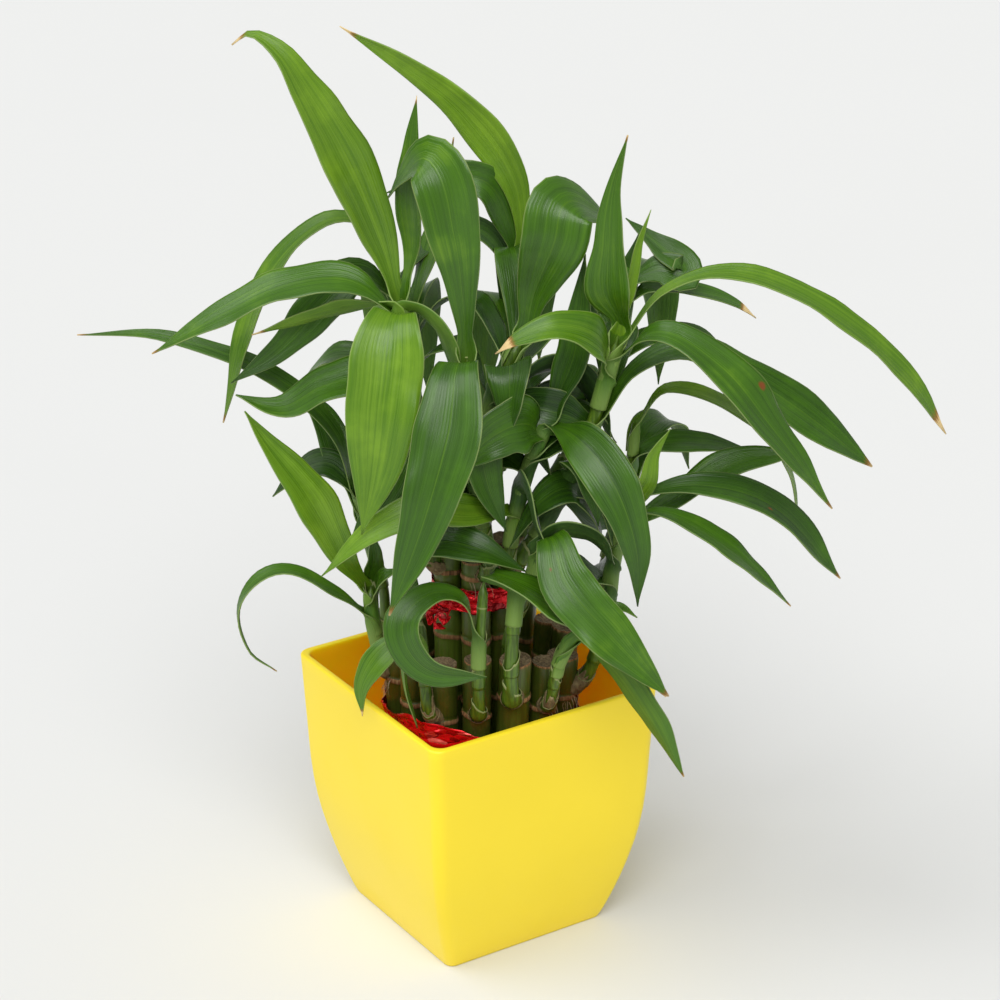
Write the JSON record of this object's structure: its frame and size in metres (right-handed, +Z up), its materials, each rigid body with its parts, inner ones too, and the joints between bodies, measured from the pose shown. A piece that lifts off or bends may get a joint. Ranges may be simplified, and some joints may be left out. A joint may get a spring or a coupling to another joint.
{
  "type": "potted lucky bamboo",
  "caption": "Lucky bamboo in a yellow square tapered pot: two tiers of cut green stalks tied with red foil tape, with slender shoots and long arching leaves.",
  "frame": {"origin": "centre of the pot's flat foot, on the surface it stands on", "axes": "+Z up; X and Y square to the pot's sides; the plant's front faces the edge between the -X and -Y sides"},
  "size_m": [0.2534, 0.1936, 0.3513],
  "materials": {
    "pot_plastic": "satin yellow moulded plastic",
    "cane_skin": "smooth green stalk skin, ringed at the nodes",
    "leaf_blade": "waxy green leaf",
    "red_foil": "metallised red foil tape"
  },
  "bodies": {
    "root": {"pot": "pot_plastic", "lower_ribbon": "red_foil", "upper_ribbon": "red_foil", "cane_inner_1": "cane_skin", "cane_inner_2": "cane_skin", "cane_inner_3": "cane_skin", "cane_inner_4": "cane_skin", "cane_inner_5": "cane_skin", "cane_inner_6": "cane_skin", "cane_inner_7": "cane_skin", "cane_outer_01": "cane_skin", "cane_outer_02": "cane_skin", "cane_outer_03": "cane_skin", "cane_outer_04": "cane_skin", "cane_outer_05": "cane_skin", "cane_outer_06": "cane_skin", "cane_outer_07": "cane_skin", "cane_outer_08": "cane_skin", "cane_outer_09": "cane_skin", "cane_outer_10": "cane_skin", "cane_outer_11": "cane_skin", "cane_outer_12": "cane_skin", "cane_outer_13": "cane_skin", "cane_outer_14": "cane_skin", "leaf_01": "leaf_blade", "leaf_02": "leaf_blade", "leaf_03": "leaf_blade", "leaf_04": "leaf_blade", "leaf_05": "leaf_blade", "leaf_06": "leaf_blade", "leaf_07": "leaf_blade", "leaf_08": "leaf_blade", "leaf_09": "leaf_blade", "leaf_10": "leaf_blade", "leaf_11": "leaf_blade", "leaf_12": "leaf_blade", "leaf_13": "leaf_blade", "leaf_14": "leaf_blade", "leaf_15": "leaf_blade", "leaf_16": "leaf_blade", "leaf_17": "leaf_blade", "leaf_18": "leaf_blade", "leaf_19": "leaf_blade", "leaf_20": "leaf_blade", "leaf_21": "leaf_blade", "leaf_22": "leaf_blade", "leaf_23": "leaf_blade", "leaf_24": "leaf_blade", "leaf_25": "leaf_blade", "leaf_26": "leaf_blade", "leaf_27": "leaf_blade", "leaf_28": "leaf_blade", "leaf_29": "leaf_blade", "leaf_30": "leaf_blade", "leaf_31": "leaf_blade", "leaf_32": "leaf_blade", "leaf_33": "leaf_blade", "leaf_34": "leaf_blade", "leaf_35": "leaf_blade", "leaf_36": "leaf_blade"}
  },
  "joints": []
}
